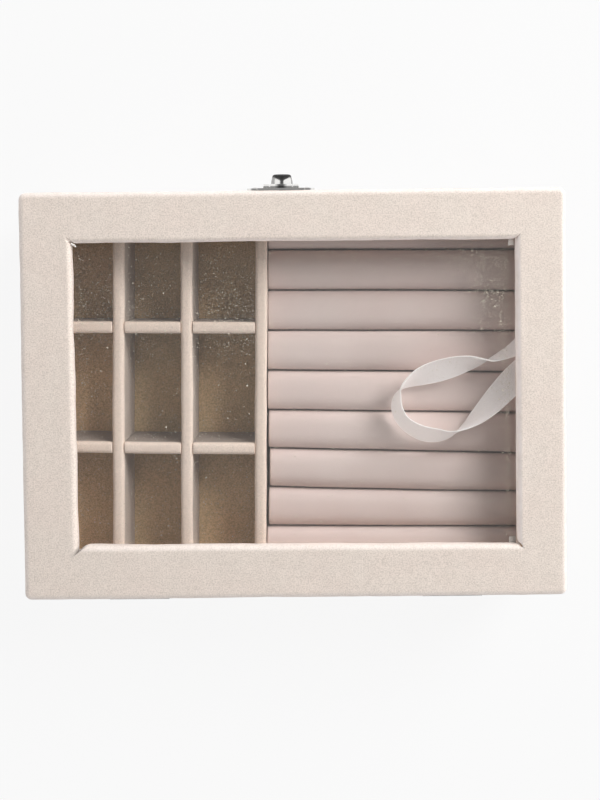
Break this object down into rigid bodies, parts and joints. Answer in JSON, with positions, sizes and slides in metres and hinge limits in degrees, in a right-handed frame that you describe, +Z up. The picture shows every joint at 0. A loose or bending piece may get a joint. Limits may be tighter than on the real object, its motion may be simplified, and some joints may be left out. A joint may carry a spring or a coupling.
{
  "type": "ring display box",
  "caption": "Velvet-covered ring display box with a hinged glass-window lid, padded ring rolls beside open compartments, a front latch and a ribbon stay.",
  "frame": {"origin": "middle of the box's flat underside, where it rests", "axes": "+X to the right along the width, towards the compartments, +Y from the latch at the front to the hinges at the rear, +Z up"},
  "size_m": [0.2, 0.1615, 0.05],
  "materials": {
    "velvet": "short-pile cream velvet",
    "lining": "short-pile cream velvet on card",
    "roll": "smooth padded pinkish-cream velveteen",
    "felt": "pressed felt",
    "board": "plain fibreboard",
    "glass": "clear float glass with a little dust",
    "metal": "polished dark nickel",
    "ribbon": "thin white satin, slightly see-through"
  },
  "bodies": {
    "base": {"base_felt": "felt", "bottom_board": "board", "front_board": "board", "right_board": "board", "rear_board": "board", "left_board": "board", "body_velvet": "velvet", "floor_lining": "lining", "front_lining": "lining", "right_lining": "lining", "rear_lining": "lining", "left_lining": "lining", "separator": "lining", "long_divider_outer": "lining", "long_divider_inner": "lining", "cross_divider_front": "lining", "cross_divider_rear": "lining", "roll_tray": "lining", "ring_roll_1": "roll", "ring_roll_2": "roll", "ring_roll_3": "roll", "ring_roll_4": "roll", "ring_roll_5": "roll", "ring_roll_6": "roll", "ring_roll_7": "roll", "ring_roll_8": "roll", "ring_roll_9": "roll", "hinge_leaf_body_left": "metal", "hinge_leaf_body_right": "metal", "hinge_pin_left": "metal", "hinge_pin_right": "metal", "hinge_nails_body": "metal", "strike_plate": "metal", "strike_nails": "metal"},
    "lid": {"lid_skirt_front": "board", "lid_skirt_right": "board", "lid_skirt_rear": "board", "lid_skirt_left": "board", "lid_bar_front": "board", "lid_bar_right": "board", "lid_bar_rear": "board", "lid_bar_left": "board", "lid_velvet": "velvet", "glass_pane": "glass", "glass_strip_front": "lining", "glass_strip_right": "lining", "glass_strip_rear": "lining", "glass_strip_left": "lining", "hinge_leaf_lid_left": "metal", "hinge_leaf_lid_right": "metal", "hinge_nails_lid": "metal", "latch_plate": "metal", "latch_pin": "metal", "latch_nails": "metal"},
    "tongue": {"latch_tongue": "metal"},
    "ribbon_lower": {"ribbon_body_run": "ribbon"},
    "ribbon_upper": {"ribbon_lid_run": "ribbon"}
  },
  "joints": [
    {"name": "lid_hinge", "type": "hinge", "parent": "base", "child": "lid", "pos_m": [0, 0.077, 0.03615], "axis": [-1, 0, 0], "range_deg": [0, 90]},
    {"name": "latch_hinge", "type": "hinge", "parent": "lid", "child": "tongue", "pos_m": [0.004, -0.0766, 0.04], "axis": [-1, 0, 0], "range_deg": [0, 120]},
    {"name": "ribbon_anchor", "type": "hinge", "parent": "base", "child": "ribbon_lower", "pos_m": [-0.0921, -0.0098, 0.035], "axis": [-0.2412, -0.9419, 0.2338], "range_deg": [0, 92.7], "deforming": ["ribbon_body_run"]},
    {"name": "ribbon_unfold", "type": "hinge", "parent": "ribbon_lower", "child": "ribbon_upper", "pos_m": [-0.03018, 0.006, 0.037], "axis": [0, 0, -1], "range_deg": [0, 187.7], "deforming": ["ribbon_lid_run"]}
  ],
  "couplings": [
    {"joint": "ribbon_anchor", "follows": "lid_hinge", "ratio": 1.0289},
    {"joint": "ribbon_unfold", "follows": "lid_hinge", "ratio": 2.0843}
  ]
}
